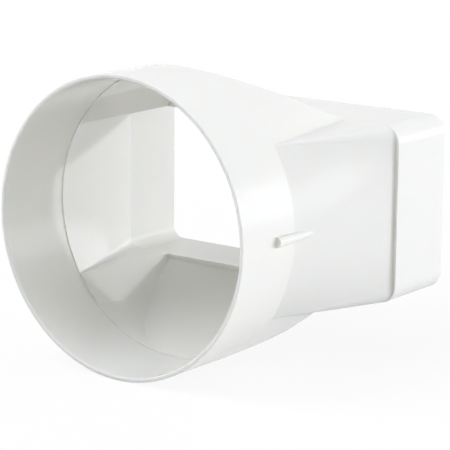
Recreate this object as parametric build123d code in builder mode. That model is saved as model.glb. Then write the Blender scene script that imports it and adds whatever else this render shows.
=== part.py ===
import os
from math import asin, cos, radians, sin, sqrt, tan

from build123d import *

# Round-to-flat duct connector, moulded in one piece.
# Y runs along the duct from the round rim, X across it and Z up, in millimetres.
# The origin is the centre of the round rim.

# Round collar that a round duct slides over
collar_diameter = 98.0
collar_wall = 1.4
collar_length = 27.2
collar_bore_depth = 28.7
throat_ledge = 0.4

# Socket that takes the end of a flat duct
socket_width = 112.0
socket_height = 55.4
socket_corner_radius = 4.2
socket_wall = 1.8
socket_depth = 27.2

# Body between collar and socket
body_length = 45.0
body_wall = 1.8
body_side_step = 1.3
body_corner_radius = 4.6
flat_rise = 1.7
flat_wall = 2.4
stop_lip_height = 1.5
stop_lip_thickness = 1.6
passage_corner_radius = 3.4
crease_radius = 0.5

# Ramps above and below, with a narrow facet down each side of them
ramp_width_inside = 74.0
ramp_width_outside = 73.0
ramp_start_gap = 0.3
facet_angle = 15.0
draft_angle = 1.2

# Stop rib on each side of the collar
rib_start = 17.0
rib_length = 20.0
rib_width = 3.5
rib_tail_width = 2.3
rib_height = 2.0

# Broken edges of the round rim and of the socket
rim_inner_chamfer = 0.4
rim_outer_chamfer = 0.2
socket_chamfer = 0.5

# Values that follow from the sizes above
collar_radius = collar_diameter / 2
bore_radius = collar_radius - collar_wall
throat_radius = bore_radius - throat_ledge
step_y = collar_length + body_length
shoulder_y = step_y + stop_lip_thickness
end_y = shoulder_y + socket_depth
socket_outer_width = socket_width + 2 * socket_wall
socket_outer_height = socket_height + 2 * socket_wall
body_outer_width = socket_outer_width - 2 * body_side_step
body_inner_width = body_outer_width - 2 * body_wall
passage_height = socket_height - 2 * stop_lip_height
flat_outer_z = socket_outer_height / 2 - flat_rise
flat_inner_z = flat_outer_z - flat_wall


def facet_intercepts(radius, flat_z):
    """Where the facet's line, a chord of the circle, meets the X and Z axes."""
    low = asin(flat_z / radius)
    high = low + radians(facet_angle)
    slope = (cos(low) - cos(high)) / (sin(high) - sin(low))
    across = radius * (cos(low) + slope * sin(low))
    return across, across / slope


def facet_scale(radius, flat_z, end_half_width, end_z):
    """How much narrower the pair of facets stands at the far end of the ramp."""
    across, upright = facet_intercepts(radius, flat_z)
    return end_half_width / across + end_z / upright


mouth_plane = Plane.XZ
collar_end_plane = Plane.XZ.offset(-collar_length)
throat_plane = Plane.XZ.offset(-collar_bore_depth)
step_plane = Plane.XZ.offset(-step_y)
shoulder_plane = Plane.XZ.offset(-shoulder_y)

# Hollow of the body: a drafted throat narrowed by two ramps, and the flaring flat passage
throat_run = step_y - collar_bore_depth
throat_across, throat_upright = facet_intercepts(throat_radius, flat_inner_z)
throat_scale = facet_scale(throat_radius, flat_inner_z, ramp_width_inside / 2, passage_height / 2)

with BuildPart() as passage:
    with BuildSketch(throat_plane):
        Circle(throat_radius)
    with BuildSketch(step_plane):
        Circle(throat_radius - throat_run * tan(radians(draft_angle)))
    loft()
    with BuildSketch(Plane.YZ):
        with BuildLine():
            Polyline(
                (collar_bore_depth, throat_radius - ramp_start_gap),
                (step_y, socket_height / 2),
                (step_y, -socket_height / 2),
                (collar_bore_depth, -throat_radius + ramp_start_gap),
                close=True,
            )
        make_face()
    extrude(amount=collar_diameter, both=True, mode=Mode.INTERSECT)
    with BuildSketch(throat_plane):
        with BuildLine():
            Polyline(
                (throat_across, 0),
                (0, throat_upright),
                (-throat_across, 0),
                (0, -throat_upright),
                close=True,
            )
        make_face()
    with BuildSketch(step_plane):
        with BuildLine():
            Polyline(
                (throat_across * throat_scale, 0),
                (0, throat_upright * throat_scale),
                (-throat_across * throat_scale, 0),
                (0, -throat_upright * throat_scale),
                close=True,
            )
        make_face()
    loft(ruled=True, mode=Mode.INTERSECT)
    with BuildSketch(throat_plane) as passage_start:
        Circle(throat_radius)
        Rectangle(collar_diameter, 2 * flat_inner_z, mode=Mode.INTERSECT)
        fillet(passage_start.vertices(), crease_radius)
    with BuildSketch(shoulder_plane):
        RectangleRounded(body_inner_width, passage_height, passage_corner_radius)
    loft(ruled=True)

# Half-round stop rib that narrows to its tail
rib_axis_x = collar_radius + rib_height - rib_width / 2
with BuildPart() as stop_rib:
    with Locations(Location((rib_axis_x, rib_start + rib_length / 2, 0), (-90, 0, 0))):
        Cone(rib_width / 2, rib_tail_width / 2, rib_length)

# Moulded connector: outside shape first, then collar bore, body passage and socket
scoop_across, scoop_upright = facet_intercepts(collar_radius, flat_outer_z)
scoop_scale = facet_scale(
    collar_radius, flat_outer_z, ramp_width_outside / 2, socket_outer_height / 2
)

with BuildPart() as connector:
    with BuildSketch(collar_end_plane):
        Circle(collar_radius)
    with BuildSketch(step_plane):
        Circle(collar_radius - body_length * tan(radians(draft_angle)))
    loft()
    with BuildSketch(Plane.YZ):
        with BuildLine():
            Polyline(
                (collar_length, collar_radius + ramp_start_gap),
                (step_y, socket_outer_height / 2),
                (step_y, -socket_outer_height / 2),
                (collar_length, -collar_radius - ramp_start_gap),
                close=True,
            )
        make_face()
    extrude(amount=collar_diameter, both=True, mode=Mode.INTERSECT)
    with BuildSketch(collar_end_plane):
        with BuildLine():
            Polyline(
                (scoop_across, 0),
                (0, scoop_upright),
                (-scoop_across, 0),
                (0, -scoop_upright),
                close=True,
            )
        make_face()
    with BuildSketch(step_plane):
        with BuildLine():
            Polyline(
                (scoop_across * scoop_scale, 0),
                (0, scoop_upright * scoop_scale),
                (-scoop_across * scoop_scale, 0),
                (0, -scoop_upright * scoop_scale),
                close=True,
            )
        make_face()
    loft(ruled=True, mode=Mode.INTERSECT)
    with BuildSketch(collar_end_plane) as body_start:
        Circle(collar_radius)
        Rectangle(collar_diameter, 2 * flat_outer_z, mode=Mode.INTERSECT)
        fillet(body_start.vertices(), crease_radius)
    with BuildSketch(step_plane):
        RectangleRounded(body_outer_width, socket_outer_height, body_corner_radius)
    loft(ruled=True)
    with BuildSketch(mouth_plane):
        Circle(collar_radius)
    extrude(amount=-collar_length)
    with BuildSketch(step_plane):
        RectangleRounded(
            socket_outer_width, socket_outer_height, socket_corner_radius + socket_wall
        )
    extrude(amount=-(end_y - step_y))

    # Stop ribs: blunt towards the rim, running out into the flaring side walls
    add(stop_rib.part)
    mirror(stop_rib.part, about=Plane.YZ)

    # Hollow
    with BuildSketch(mouth_plane):
        Circle(bore_radius)
    extrude(amount=-collar_bore_depth, mode=Mode.SUBTRACT)
    add(passage.part, mode=Mode.SUBTRACT)
    with BuildSketch(shoulder_plane):
        RectangleRounded(socket_width, socket_height, socket_corner_radius)
    extrude(amount=-socket_depth, mode=Mode.SUBTRACT)

    # Broken edges
    rim_edges = connector.edges().group_by(Axis.Y)[0].sort_by(SortBy.LENGTH)
    chamfer(rim_edges[0], min(rim_inner_chamfer, 0.4 * collar_wall))
    rim_edges = connector.edges().group_by(Axis.Y)[0].sort_by(SortBy.LENGTH)
    chamfer(rim_edges[-1], min(rim_outer_chamfer, 0.4 * collar_wall))
    chamfer(connector.edges().group_by(Axis.Y)[-1], min(socket_chamfer, 0.4 * socket_wall))

connector.part.label = "connector_body"

os.makedirs("parts", exist_ok=True)
export_step(connector.part, "parts/connector_body.step")
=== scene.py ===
"""Studio view of a white moulded connector between a round and a flat duct."""

import math
from typing import NamedTuple

import bpy
from bpy.props import FloatProperty, FloatVectorProperty, PointerProperty
from mathutils import Matrix, Vector


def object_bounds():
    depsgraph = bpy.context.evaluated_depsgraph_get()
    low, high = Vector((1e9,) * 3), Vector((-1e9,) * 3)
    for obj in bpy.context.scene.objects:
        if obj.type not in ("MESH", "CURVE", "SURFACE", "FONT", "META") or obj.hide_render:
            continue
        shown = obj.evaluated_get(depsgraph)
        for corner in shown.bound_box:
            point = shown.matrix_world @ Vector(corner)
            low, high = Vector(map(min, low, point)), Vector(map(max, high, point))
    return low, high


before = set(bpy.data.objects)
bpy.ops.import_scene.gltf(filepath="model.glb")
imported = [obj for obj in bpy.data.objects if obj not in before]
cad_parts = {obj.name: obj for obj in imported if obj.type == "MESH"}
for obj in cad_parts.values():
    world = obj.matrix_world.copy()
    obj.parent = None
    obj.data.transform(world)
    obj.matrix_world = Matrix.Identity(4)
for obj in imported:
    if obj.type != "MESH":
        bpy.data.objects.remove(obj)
cad_box = [list(corner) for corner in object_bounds()]

bl_info = {
    "name": "Flat Duct Connector",
    "version": (1, 0, 0),
    "blender": (4, 2, 0),
    "location": "View3D > Sidebar > Duct Connector",
    "description": "Finishes the moulded connector and sets it in a white studio",
    "category": "Object",
}

CONNECTOR = "connector_body"
WHITE = (1.0, 1.0, 1.0, 1.0)

# Plastic
PLASTIC_IOR = 1.49
SCATTER_BY_COLOUR = (1.0, 0.95, 0.85)
NOISE_MIDDLE = 0.5
# X times the normal's X, in metres, is larger than this on the outer sides only
OUTER_SIDE = 0.02

# Stage, in metres
FLOOR_SIZE = 8.0
SHADOW_FADE = (0.1, 0.4)
LAMP_DISTANCE = 1.35

# Camera: picture in pixels, sensor in millimetres, clipping in metres
IMAGE_WIDTH = 450
SENSOR_WIDTH = 36.0
CLIP_RANGE = (0.01, 50.0)

# Sockets of the colour mix node
MIX_SHARE, MIX_FIRST, MIX_SECOND, MIX_RESULT = 0, 6, 7, 2


class Lamp(NamedTuple):
    """A rectangular lamp, with its angles in degrees and its size in metres.

    The bearing is 0 in front of the round mouth, 90 to its right and 180 behind the socket.
    """

    name: str
    bearing: float
    rise: float
    width: float
    height: float
    power: str
    reflected: bool = False


# Only the dim back panel shows in reflections: the others would leave hard spots on the gloss
LAMPS = (
    Lamp("Back Softbox", 150.0, 5.0, 1.8, 0.5, "back_power", reflected=True),
    Lamp("Side Softbox", 106.0, 5.0, 2.2, 0.45, "side_power"),
    Lamp("Side Lamp", 126.8, 8.8, 0.03, 0.03, "key_power"),
    Lamp("Front Softbox", 316.0, 48.0, 0.9, 1.2, "front_power"),
    Lamp("Top Softbox", 180.0, 68.0, 0.9, 0.9, "top_power"),
)


class Value:
    """A number socket in a node tree, used in ordinary arithmetic."""

    def __init__(self, shading, socket):
        self.shading = shading
        self.socket = socket

    def combine(self, operation, first, second):
        return self.shading.value(
            "ShaderNodeMath", {"operation": operation}, {0: first, 1: second}
        )

    def __add__(self, other):
        return self.combine("ADD", self, other)

    def __radd__(self, other):
        return self.combine("ADD", other, self)

    def __sub__(self, other):
        return self.combine("SUBTRACT", self, other)

    def __rsub__(self, other):
        return self.combine("SUBTRACT", other, self)

    def __mul__(self, other):
        return self.combine("MULTIPLY", self, other)

    def __abs__(self):
        return self.combine("ABSOLUTE", self, 0.0)

    def __gt__(self, limit):
        return self.combine("GREATER_THAN", self, limit)

    def maximum(self, other):
        return self.combine("MAXIMUM", self, other)


class Shading:
    """Builds one material's or world's node tree."""

    def __init__(self, tree):
        self.tree = tree
        tree.nodes.clear()

    def node(self, kind, settings, inputs):
        made = self.tree.nodes.new(kind)
        for name, value in settings.items():
            setattr(made, name, value)
        for key, value in inputs.items():
            source = value.socket if isinstance(value, Value) else value
            if isinstance(source, bpy.types.NodeSocket):
                self.tree.links.new(source, made.inputs[key])
            else:
                made.inputs[key].default_value = source
        return made

    def value(self, kind, settings, inputs, output=0):
        return Value(self, self.node(kind, settings, inputs).outputs[output])

    def place(self):
        """Position on the object, in metres."""
        return self.node("ShaderNodeTexCoord", {}, {}).outputs["Object"]

    def noise(self, place, scale, detail, roughness, distortion=0.0):
        return self.value(
            "ShaderNodeTexNoise",
            {},
            {
                "Vector": place,
                "Scale": scale,
                "Detail": detail,
                "Roughness": roughness,
                "Distortion": distortion,
            },
        )

    def fade(self, value, start, end):
        """1 up to the start, then falling smoothly to 0 at the end."""
        return self.value(
            "ShaderNodeMapRange",
            {"interpolation_type": "SMOOTHSTEP"},
            {"Value": value, "From Min": start, "From Max": end, "To Min": 1.0, "To Max": 0.0},
        )


class ConnectorPlastic(bpy.types.PropertyGroup):
    colour: FloatVectorProperty(
        name="Colour",
        description="Colour of the white plastic",
        subtype="COLOR",
        size=3,
        min=0.0,
        max=1.0,
        default=(0.88, 0.882, 0.846),
    )
    flow_colour: FloatVectorProperty(
        name="Flow Colour",
        description="Slightly warmer white where the melt flowed last",
        subtype="COLOR",
        size=3,
        min=0.0,
        max=1.0,
        default=(0.872, 0.873, 0.834),
    )
    roughness: FloatProperty(
        name="Roughness",
        description="Roughness of the polished mould surface",
        subtype="FACTOR",
        min=0.0,
        max=1.0,
        default=0.15,
    )
    roughness_spread: FloatProperty(
        name="Roughness Spread",
        description="How much the polish varies over the surface",
        subtype="FACTOR",
        min=0.0,
        max=1.0,
        default=0.04,
    )
    translucency: FloatProperty(
        name="Translucency",
        description="How far light travels inside the plastic before it turns",
        subtype="DISTANCE",
        unit="LENGTH",
        precision=5,
        min=0.0,
        default=0.0013,
    )
    seam_height: FloatProperty(
        name="Seam Height",
        description="Height of the fine line that the mould's parting leaves along both sides",
        subtype="DISTANCE",
        unit="LENGTH",
        precision=6,
        default=0.00002,
    )
    seam_width: FloatProperty(
        name="Seam Width",
        description="Width of the mould's parting line",
        subtype="DISTANCE",
        unit="LENGTH",
        precision=5,
        default=0.0004,
    )
    waviness: FloatProperty(
        name="Waviness",
        description="Depth of the slow waves that shrinkage leaves in a moulded wall",
        subtype="DISTANCE",
        unit="LENGTH",
        precision=6,
        default=0.00012,
    )


class ConnectorStudio(bpy.types.PropertyGroup):
    light_colour: FloatVectorProperty(
        name="Light Colour",
        description="Slightly cool white of the lamps",
        subtype="COLOR",
        size=3,
        min=0.0,
        default=(0.985, 1.0, 1.065),
    )
    ambient: FloatProperty(
        name="Ambient", description="Light level of the white surroundings", min=0.0, default=0.32
    )
    back_power: FloatProperty(
        name="Back Power",
        description="Power of the low, wide lamp behind the flat socket",
        subtype="POWER",
        unit="POWER",
        min=0.0,
        default=3.4,
    )
    side_power: FloatProperty(
        name="Side Power",
        description="Power of the low, wide lamp to the right of the connector",
        subtype="POWER",
        unit="POWER",
        min=0.0,
        default=12.0,
    )
    key_power: FloatProperty(
        name="Key Power",
        description="Power of the small lamp that shines in through the flat socket",
        subtype="POWER",
        unit="POWER",
        min=0.0,
        default=3.6,
    )
    front_power: FloatProperty(
        name="Front Power",
        description="Power of the soft lamp in front of the round mouth",
        subtype="POWER",
        unit="POWER",
        min=0.0,
        default=13.4,
    )
    top_power: FloatProperty(
        name="Top Power",
        description="Power of the weak lamp above the flat socket",
        subtype="POWER",
        unit="POWER",
        min=0.0,
        default=1.2,
    )
    floor_bounce: FloatProperty(
        name="Floor Bounce",
        description="Share of the lamps' light that the floor throws back up at the connector",
        subtype="FACTOR",
        min=0.0,
        max=1.0,
        default=0.52,
    )
    shadow_share: FloatProperty(
        name="Shadow Share",
        description="How strongly the white floor shows the connector's shadow",
        subtype="FACTOR",
        min=0.0,
        max=1.0,
        default=0.1,
    )
    camera_place: FloatVectorProperty(
        name="Camera Place",
        description="Where the camera stands",
        subtype="TRANSLATION",
        unit="LENGTH",
        size=3,
        default=(0.431898, -0.522328, 0.151876),
    )
    camera_yaw: FloatProperty(
        name="Camera Yaw",
        description="Turn of the view to the left of the duct's axis",
        subtype="ANGLE",
        unit="ROTATION",
        default=0.641,
    )
    camera_pitch: FloatProperty(
        name="Camera Pitch",
        description="Downward tilt of the view",
        subtype="ANGLE",
        unit="ROTATION",
        default=0.218,
    )
    camera_roll: FloatProperty(
        name="Camera Roll",
        description="Turn of the picture about the line of sight",
        subtype="ANGLE",
        unit="ROTATION",
        default=0.009,
    )
    focal_pixels: FloatProperty(
        name="Focal Length in Pixels",
        description="Focal length of the view, in pixels of the picture",
        min=1.0,
        default=2214.75,
    )


class DUCT_OT_finish_connector(bpy.types.Operator):
    """Give the moulded connector its glossy white plastic"""

    bl_idname = "duct.finish_connector"
    bl_label = "Finish Connector"

    def execute(self, context):
        plastic = context.scene.connector_plastic
        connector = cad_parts[CONNECTOR]
        material = bpy.data.materials.new("Glossy White Plastic")
        material.use_nodes = True
        shading = Shading(material.node_tree)
        place = shading.place()
        flow = shading.noise(place, scale=22.0, detail=2.0, roughness=0.45, distortion=0.6)
        waves = shading.noise(place, scale=38.0, detail=1.0, roughness=0.3)
        handling = shading.noise(place, scale=75.0, detail=5.0, roughness=0.62)
        tint = shading.node(
            "ShaderNodeMix",
            {"data_type": "RGBA"},
            {
                MIX_SHARE: flow,
                MIX_FIRST: (*plastic.colour, 1.0),
                MIX_SECOND: (*plastic.flow_colour, 1.0),
            },
        )
        polish = plastic.roughness + (handling - NOISE_MIDDLE) * plastic.roughness_spread
        seam = self.parting_line(shading, place, plastic.seam_width)
        relief = waves * plastic.waviness + seam * plastic.seam_height
        bump = shading.node(
            "ShaderNodeBump", {}, {"Strength": 1.0, "Distance": 1.0, "Height": relief}
        )
        surface = shading.node(
            "ShaderNodeBsdfPrincipled",
            {},
            {
                "Base Color": tint.outputs[MIX_RESULT],
                "Roughness": polish,
                "Normal": bump.outputs["Normal"],
                "IOR": PLASTIC_IOR,
                "Subsurface Weight": 1.0,
                "Subsurface Radius": SCATTER_BY_COLOUR,
                "Subsurface Scale": plastic.translucency,
            },
        )
        shading.node("ShaderNodeOutputMaterial", {}, {"Surface": surface.outputs["BSDF"]})
        connector.data.materials.clear()
        connector.data.materials.append(material)
        return {"FINISHED"}

    def parting_line(self, shading, place, width):
        """1 along the middle of both outer sides, 0 elsewhere and on all inner walls."""
        spot = shading.node("ShaderNodeSeparateXYZ", {}, {0: place}).outputs
        normal = shading.node("ShaderNodeNewGeometry", {}, {}).outputs["Normal"]
        facing = shading.node("ShaderNodeSeparateXYZ", {}, {0: normal}).outputs
        height = abs(Value(shading, spot["Z"]))
        outward = Value(shading, spot["X"]) * Value(shading, facing["X"])
        return shading.fade(height, 0.0, width / 2) * (outward > OUTER_SIDE)


class DUCT_OT_set_stage(bpy.types.Operator):
    """Set the white floor and surroundings, the lamps and the camera"""

    bl_idname = "duct.set_stage"
    bl_label = "Set Stage"

    def execute(self, context):
        studio = context.scene.connector_studio
        self.lay_floor(studio)
        self.light_surroundings(context.scene, studio)
        for lamp in LAMPS:
            self.hang_lamp(studio, lamp)
        self.place_camera(context.scene, studio)
        return {"FINISHED"}

    def lay_floor(self, studio):
        bpy.ops.mesh.primitive_plane_add(size=FLOOR_SIZE, location=(0.0, 0.0, cad_box[0][2]))
        floor = bpy.context.object
        floor.name = "Studio Floor"
        material = bpy.data.materials.new("White Floor")
        material.use_nodes = True
        shading = Shading(material.node_tree)
        direct = self.seen_share(shading)
        shade = direct + (1.0 - direct) * studio.floor_bounce
        tone = shading.node("ShaderNodeCombineColor", {}, {0: shade, 1: shade, 2: shade})
        paper = shading.node("ShaderNodeBsdfDiffuse", {}, {"Color": tone.outputs[0]})
        glow = shading.node("ShaderNodeEmission", {}, {"Color": WHITE, "Strength": 1.0})
        away = shading.value(
            "ShaderNodeVectorMath", {"operation": "LENGTH"}, {0: shading.place()}, "Value"
        )
        near = shading.fade(away, *SHADOW_FADE)
        seen = direct * (1.0 - near * studio.shadow_share)
        mix = shading.node(
            "ShaderNodeMixShader", {}, {0: seen, 1: paper.outputs[0], 2: glow.outputs[0]}
        )
        shading.node("ShaderNodeOutputMaterial", {}, {"Surface": mix.outputs[0]})
        floor.data.materials.append(material)

    def seen_share(self, shading):
        """1 for rays that see the surroundings directly, by reflection or through a surface."""
        path = shading.node("ShaderNodeLightPath", {}, {}).outputs
        seen = Value(shading, path["Is Camera Ray"])
        seen = seen.maximum(Value(shading, path["Is Glossy Ray"]))
        return seen.maximum(Value(shading, path["Is Transmission Ray"]))

    def light_surroundings(self, scene, studio):
        world = bpy.data.worlds.new("White Studio")
        world.use_nodes = True
        shading = Shading(world.node_tree)
        seen = self.seen_share(shading)
        strength = seen + (1.0 - seen) * studio.ambient
        light = shading.node("ShaderNodeBackground", {}, {"Color": WHITE, "Strength": strength})
        shading.node("ShaderNodeOutputWorld", {}, {"Surface": light.outputs[0]})
        scene.world = world

    def hang_lamp(self, studio, lamp):
        """Hang a lamp around the middle of the connector and aim it there."""
        bearing, rise = math.radians(lamp.bearing), math.radians(lamp.rise)
        away = Vector(
            (
                math.sin(bearing) * math.cos(rise),
                -math.cos(bearing) * math.cos(rise),
                math.sin(rise),
            )
        )
        middle = Vector(cad_box[0]).lerp(Vector(cad_box[1]), 0.5)
        data = bpy.data.lights.new(lamp.name, "AREA")
        data.shape = "RECTANGLE"
        data.size, data.size_y = lamp.width, lamp.height
        data.energy = getattr(studio, lamp.power)
        data.color = studio.light_colour
        light = bpy.data.objects.new(lamp.name, data)
        light.location = middle + away * LAMP_DISTANCE
        light.rotation_euler = (-away).to_track_quat("-Z", "Y").to_euler()
        light.visible_glossy = lamp.reflected
        bpy.context.collection.objects.link(light)

    def place_camera(self, scene, studio):
        yaw, pitch, roll = studio.camera_yaw, studio.camera_pitch, studio.camera_roll
        forward = Vector(
            (
                -math.cos(pitch) * math.sin(yaw),
                math.cos(pitch) * math.cos(yaw),
                -math.sin(pitch),
            )
        )
        level = Vector((math.cos(yaw), math.sin(yaw), 0.0))
        upright = level.cross(forward)
        right = level * math.cos(roll) + upright * math.sin(roll)
        up = upright * math.cos(roll) - level * math.sin(roll)
        data = bpy.data.cameras.new("Camera")
        data.sensor_width = SENSOR_WIDTH
        data.lens = studio.focal_pixels / IMAGE_WIDTH * data.sensor_width
        data.clip_start, data.clip_end = CLIP_RANGE
        camera = bpy.data.objects.new("Camera", data)
        turn = Matrix((right, up, -forward)).transposed()
        camera.matrix_world = Matrix.Translation(studio.camera_place) @ turn.to_4x4()
        bpy.context.collection.objects.link(camera)
        scene.camera = camera
        scene.view_settings.view_transform = "Standard"


class DUCT_PT_connector(bpy.types.Panel):
    """Sizes, colours and steps of the duct connector's scene"""

    bl_idname = "DUCT_PT_connector"
    bl_label = "Duct Connector"
    bl_space_type = "VIEW_3D"
    bl_region_type = "UI"
    bl_category = "Duct Connector"

    def draw(self, context):
        for group, step in (
            (context.scene.connector_plastic, DUCT_OT_finish_connector),
            (context.scene.connector_studio, DUCT_OT_set_stage),
        ):
            box = self.layout.box()
            for name in group.bl_rna.properties.keys():
                if name not in {"rna_type", "name"}:
                    box.prop(group, name)
            box.operator(step.bl_idname)


CLASSES = (
    ConnectorPlastic,
    ConnectorStudio,
    DUCT_OT_finish_connector,
    DUCT_OT_set_stage,
    DUCT_PT_connector,
)


def register():
    for cls in CLASSES:
        bpy.utils.register_class(cls)
    bpy.types.Scene.connector_plastic = PointerProperty(type=ConnectorPlastic)
    bpy.types.Scene.connector_studio = PointerProperty(type=ConnectorStudio)


def unregister():
    del bpy.types.Scene.connector_studio
    del bpy.types.Scene.connector_plastic
    for cls in reversed(CLASSES):
        bpy.utils.unregister_class(cls)


def main():
    register()
    bpy.ops.duct.finish_connector()
    bpy.ops.duct.set_stage()


if __name__ == "__main__":
    main()
